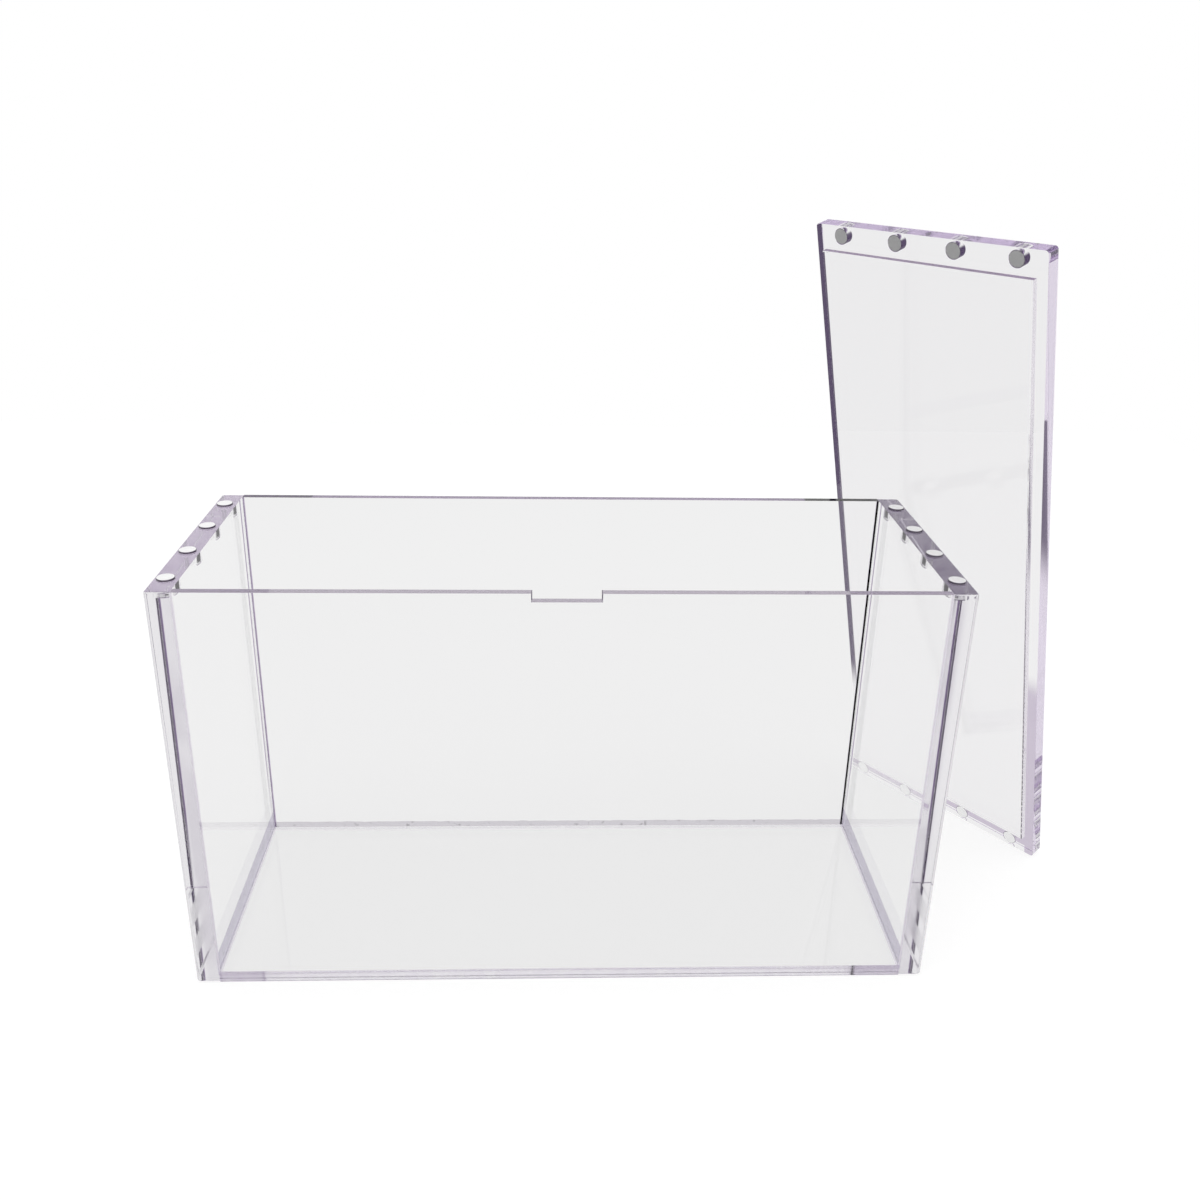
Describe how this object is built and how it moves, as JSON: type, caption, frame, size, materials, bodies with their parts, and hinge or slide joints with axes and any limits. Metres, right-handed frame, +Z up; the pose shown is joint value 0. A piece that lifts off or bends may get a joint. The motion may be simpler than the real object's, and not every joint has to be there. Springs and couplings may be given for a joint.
{
  "type": "acrylic display case",
  "caption": "Clear acrylic open-top display case for a sealed booster box, with thick side walls, thin panels, a finger notch and a loose magnetic lid leaning behind it.",
  "frame": {"origin": "centre of the underside of the case, on the surface that the case stands on", "axes": "+X to the right along the long side of the case, +Y towards the back, +Z up; the front panel faces -Y, and the lid leans on the back right corner"},
  "size_m": [0.2841, 0.1264, 0.2163],
  "materials": {
    "wall_acrylic": "clear cast acrylic, polished faces and edges, faint lilac along its length",
    "panel_acrylic": "thin clear acrylic, polished faces",
    "lid_acrylic": "clear cast acrylic, polished faces and edges, faint lilac along its length",
    "locating_acrylic": "thin clear acrylic, polished faces, chamfered rim",
    "magnet_nickel": "bright nickel plating"
  },
  "bodies": {
    "case": {"left_side_wall": "wall_acrylic", "right_side_wall": "wall_acrylic", "front_panel": "panel_acrylic", "back_panel": "panel_acrylic", "base_panel": "panel_acrylic", "left_wall_magnet_1": "magnet_nickel", "left_wall_magnet_2": "magnet_nickel", "left_wall_magnet_3": "magnet_nickel", "left_wall_magnet_4": "magnet_nickel", "right_wall_magnet_1": "magnet_nickel", "right_wall_magnet_2": "magnet_nickel", "right_wall_magnet_3": "magnet_nickel", "right_wall_magnet_4": "magnet_nickel"},
    "lid": {"lid_plate": "lid_acrylic", "lid_locating_plate": "locating_acrylic", "lid_left_magnet_1": "magnet_nickel", "lid_left_magnet_2": "magnet_nickel", "lid_left_magnet_3": "magnet_nickel", "lid_left_magnet_4": "magnet_nickel", "lid_right_magnet_1": "magnet_nickel", "lid_right_magnet_2": "magnet_nickel", "lid_right_magnet_3": "magnet_nickel", "lid_right_magnet_4": "magnet_nickel"}
  },
  "joints": [
    {"name": "lid_lift", "type": "slide", "parent": "case", "child": "lid", "axis": [0, 0, 1], "range_m": [0, 0.14]}
  ]
}
